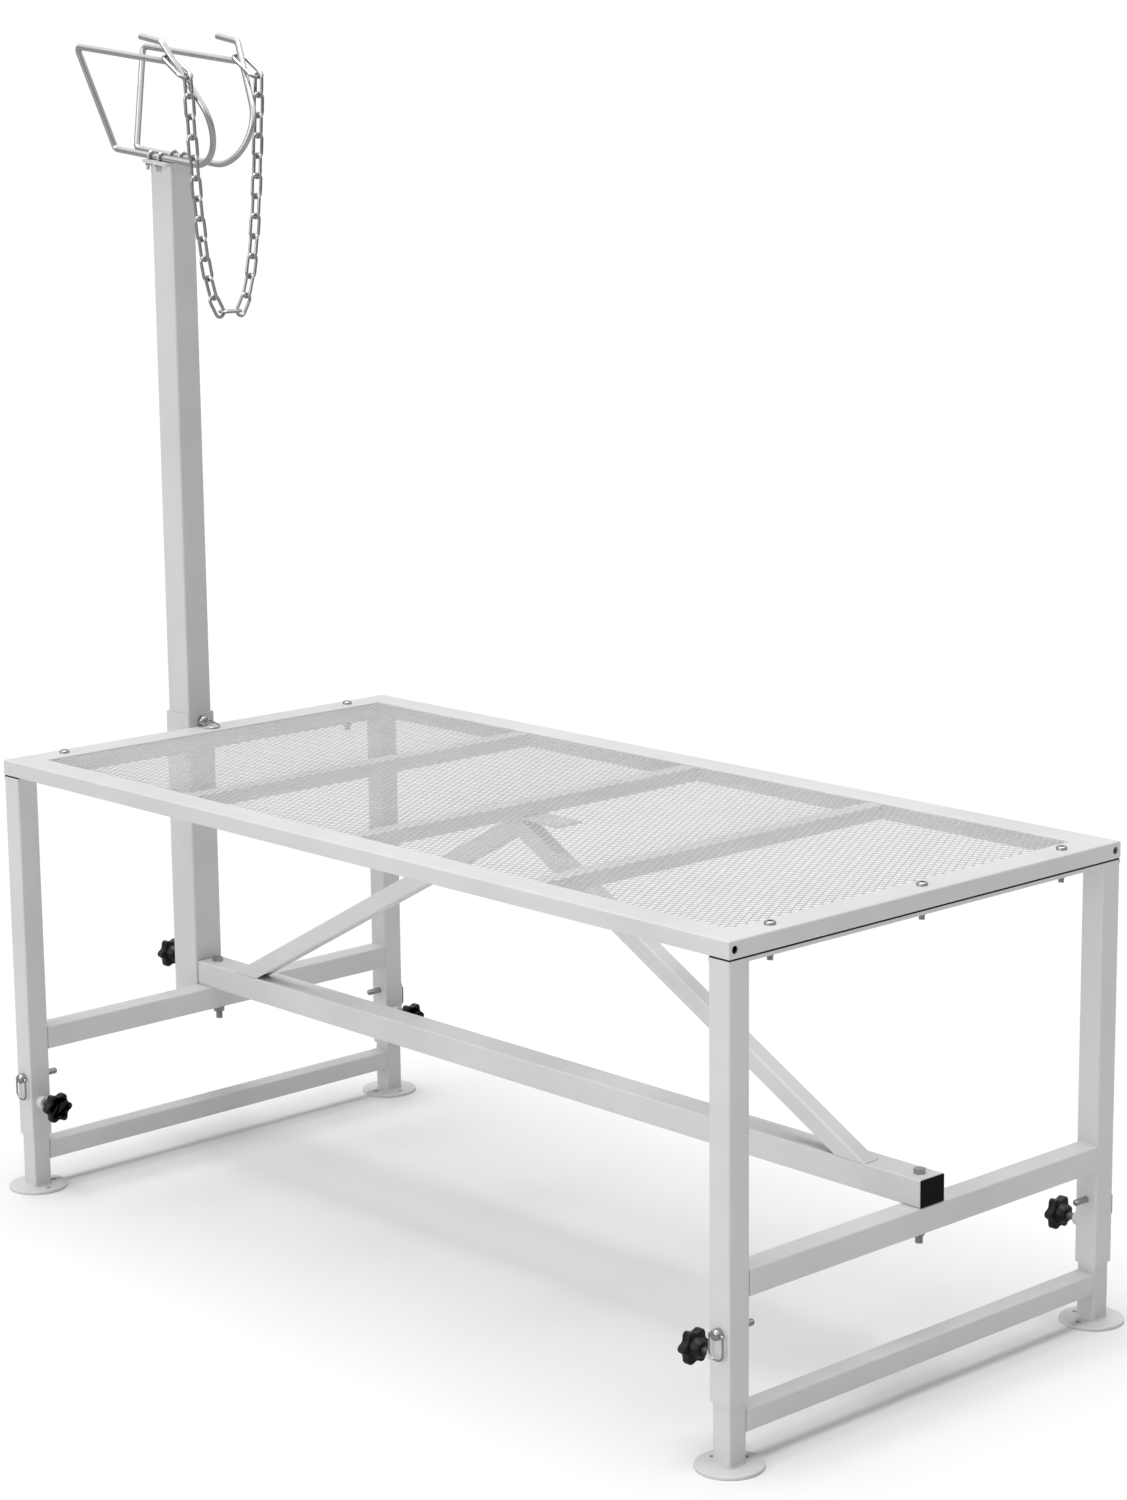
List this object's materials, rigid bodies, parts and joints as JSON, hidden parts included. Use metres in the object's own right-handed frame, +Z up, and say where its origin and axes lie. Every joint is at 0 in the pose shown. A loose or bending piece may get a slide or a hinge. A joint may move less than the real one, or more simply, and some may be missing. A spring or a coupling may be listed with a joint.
{
  "type": "goat milking stand",
  "caption": "Goat milking stand: raised mesh deck on pinned telescoping legs, with a sliding head post that carries wire side loops and a neck chain.",
  "frame": {"origin": "on the floor, under the middle of the whole stand's outline", "axes": "+X along the deck away from the head post, +Y across the deck, +Z up"},
  "size_m": [1.473, 0.675, 1.4771],
  "materials": {
    "paint": "light grey powder coat, satin, fine orange peel",
    "mesh": "light grey powder coat over flattened expanded metal",
    "rod": "bright zinc plated round rod",
    "chain": "bright zinc plated welded links",
    "zinc": "zinc plated screws, washers and nuts",
    "pin": "bright plated pins and wire rings",
    "knob": "black moulded plastic",
    "plug": "black moulded plastic",
    "strip": "thin black packing strip"
  },
  "bodies": {
    "stand": {"deck_near_rail": "paint", "deck_far_rail": "paint", "deck_tail_rail": "paint", "deck_head_rail": "paint", "deck_mesh": "mesh", "head_cross_bar": "paint", "middle_cross_bar": "paint", "tail_cross_bar": "paint", "head_near_outer_leg": "paint", "head_far_outer_leg": "paint", "head_top_plate": "paint", "head_mid_rail": "paint", "tail_near_outer_leg": "paint", "tail_far_outer_leg": "paint", "tail_top_plate": "paint", "tail_mid_rail": "paint", "packing_strips": "strip", "centre_beam": "paint", "beam_end_plugs": "plug", "tail_brace": "paint", "head_brace": "paint", "brace_plate": "paint", "frame_bolts": "zinc", "post_sleeve": "paint", "clamp_bosses": "paint"},
    "head_lower_frame": {"head_near_inner_leg": "paint", "head_far_inner_leg": "paint", "head_low_rail": "paint", "head_foot_plates": "paint"},
    "tail_lower_frame": {"tail_near_inner_leg": "paint", "tail_far_inner_leg": "paint", "tail_low_rail": "paint", "tail_foot_plates": "paint"},
    "head_post_frame": {"head_post": "paint", "post_top_plate": "paint", "near_head_loop": "rod", "far_head_loop": "rod", "head_hook_bolts": "rod"},
    "end_links": {"chain_end_links": "chain"},
    "chain": {"neck_chain": "chain"},
    "head_near_hitch_pin": {"head_near_pin": "pin"},
    "head_near_pull_ring": {"head_near_pin_ring": "pin"},
    "head_far_hitch_pin": {"head_far_pin": "pin"},
    "head_far_pull_ring": {"head_far_pin_ring": "pin"},
    "tail_near_hitch_pin": {"tail_near_pin": "pin"},
    "tail_near_pull_ring": {"tail_near_pin_ring": "pin"},
    "tail_far_hitch_pin": {"tail_far_pin": "pin"},
    "tail_far_pull_ring": {"tail_far_pin_ring": "pin"},
    "post_hitch_pin": {"post_pin": "pin"},
    "post_pull_ring": {"post_pin_ring": "pin"},
    "head_near_clamp_stud": {"head_near_stud": "zinc"},
    "head_near_star_knob": {"head_near_knob": "knob"},
    "head_far_clamp_stud": {"head_far_stud": "zinc"},
    "head_far_star_knob": {"head_far_knob": "knob"},
    "tail_near_clamp_stud": {"tail_near_stud": "zinc"},
    "tail_near_star_knob": {"tail_near_knob": "knob"},
    "tail_far_clamp_stud": {"tail_far_stud": "zinc"},
    "tail_far_star_knob": {"tail_far_knob": "knob"},
    "post_clamp_stud": {"post_stud": "zinc"},
    "post_star_knob": {"post_knob": "knob"}
  },
  "joints": [
    {"name": "head_legs_slide", "type": "slide", "parent": "stand", "child": "head_lower_frame", "axis": [0, 0, 1], "range_m": [-0.3, 0]},
    {"name": "tail_legs_slide", "type": "slide", "parent": "stand", "child": "tail_lower_frame", "axis": [0, 0, 1], "range_m": [-0.3, 0]},
    {"name": "post_slide", "type": "slide", "parent": "stand", "child": "head_post_frame", "axis": [0, 0, 1], "range_m": [0, 0.24]},
    {"name": "end_links_swing", "type": "hinge", "parent": "head_post_frame", "child": "end_links", "pos_m": [-0.53386, 0, 1.44786], "axis": [0, -1, 0], "range_deg": [0, 30]},
    {"name": "chain_swing", "type": "hinge", "parent": "end_links", "child": "chain", "pos_m": [-0.49062, 0, 1.42084], "axis": [0, -1, 0], "range_deg": [-8, 100]},
    {"name": "head_near_pin_pull", "type": "slide", "parent": "stand", "child": "head_near_hitch_pin", "axis": [0, -1, 0], "range_m": [0, 0.055]},
    {"name": "head_near_ring_swing", "type": "hinge", "parent": "head_near_hitch_pin", "child": "head_near_pull_ring", "pos_m": [-0.56598, -0.3198, 0.15], "axis": [-1, 0, 0], "range_deg": [-5, 170]},
    {"name": "head_far_pin_pull", "type": "slide", "parent": "stand", "child": "head_far_hitch_pin", "axis": [0, 1, 0], "range_m": [0, 0.055]},
    {"name": "head_far_ring_swing", "type": "hinge", "parent": "head_far_hitch_pin", "child": "head_far_pull_ring", "pos_m": [-0.56598, 0.3198, 0.15], "axis": [1, 0, 0], "range_deg": [-5, 170]},
    {"name": "tail_near_pin_pull", "type": "slide", "parent": "stand", "child": "tail_near_hitch_pin", "axis": [0, -1, 0], "range_m": [0, 0.055]},
    {"name": "tail_near_ring_swing", "type": "hinge", "parent": "tail_near_hitch_pin", "child": "tail_near_pull_ring", "pos_m": [0.69902, -0.3198, 0.15], "axis": [-1, 0, 0], "range_deg": [-5, 170]},
    {"name": "tail_far_pin_pull", "type": "slide", "parent": "stand", "child": "tail_far_hitch_pin", "axis": [0, 1, 0], "range_m": [0, 0.055]},
    {"name": "tail_far_ring_swing", "type": "hinge", "parent": "tail_far_hitch_pin", "child": "tail_far_pull_ring", "pos_m": [0.69902, 0.3198, 0.15], "axis": [1, 0, 0], "range_deg": [-5, 170]},
    {"name": "post_pin_pull", "type": "slide", "parent": "stand", "child": "post_hitch_pin", "axis": [1, 0, 0], "range_m": [0, 0.075]},
    {"name": "post_ring_swing", "type": "hinge", "parent": "post_hitch_pin", "child": "post_pull_ring", "pos_m": [-0.57618, 0, 0.5772], "axis": [0, -1, 0], "range_deg": [0, 105]},
    {"name": "head_near_stud_travel", "type": "slide", "parent": "stand", "child": "head_near_clamp_stud", "axis": [1, 0, 0], "range_m": [0, 0.003]},
    {"name": "head_near_knob_turn", "type": "hinge", "parent": "head_near_clamp_stud", "child": "head_near_star_knob", "pos_m": [-0.55098, -0.3, 0.118], "axis": [1, 0, 0], "range_deg": [0, 720]},
    {"name": "head_far_stud_travel", "type": "slide", "parent": "stand", "child": "head_far_clamp_stud", "axis": [1, 0, 0], "range_m": [0, 0.003]},
    {"name": "head_far_knob_turn", "type": "hinge", "parent": "head_far_clamp_stud", "child": "head_far_star_knob", "pos_m": [-0.55098, 0.3, 0.118], "axis": [1, 0, 0], "range_deg": [0, 720]},
    {"name": "tail_near_stud_travel", "type": "slide", "parent": "stand", "child": "tail_near_clamp_stud", "axis": [-1, 0, 0], "range_m": [0, 0.003]},
    {"name": "tail_near_knob_turn", "type": "hinge", "parent": "tail_near_clamp_stud", "child": "tail_near_star_knob", "pos_m": [0.68402, -0.3, 0.118], "axis": [-1, 0, 0], "range_deg": [0, 720]},
    {"name": "tail_far_stud_travel", "type": "slide", "parent": "stand", "child": "tail_far_clamp_stud", "axis": [-1, 0, 0], "range_m": [0, 0.003]},
    {"name": "tail_far_knob_turn", "type": "hinge", "parent": "tail_far_clamp_stud", "child": "tail_far_star_knob", "pos_m": [0.68402, 0.3, 0.118], "axis": [-1, 0, 0], "range_deg": [0, 720]},
    {"name": "post_stud_travel", "type": "slide", "parent": "stand", "child": "post_clamp_stud", "axis": [-1, 0, 0], "range_m": [0, 0.003]},
    {"name": "post_knob_turn", "type": "hinge", "parent": "post_clamp_stud", "child": "post_star_knob", "pos_m": [-0.63098, 0, 0.24], "axis": [-1, 0, 0], "range_deg": [0, 720]}
  ],
  "couplings": [
    {"joint": "head_near_knob_turn", "follows": "head_near_stud_travel", "rad_per_m": 4188.8},
    {"joint": "head_far_knob_turn", "follows": "head_far_stud_travel", "rad_per_m": 4188.8},
    {"joint": "tail_near_knob_turn", "follows": "tail_near_stud_travel", "rad_per_m": 4188.8},
    {"joint": "tail_far_knob_turn", "follows": "tail_far_stud_travel", "rad_per_m": 4188.8},
    {"joint": "post_knob_turn", "follows": "post_stud_travel", "rad_per_m": 4188.8}
  ]
}
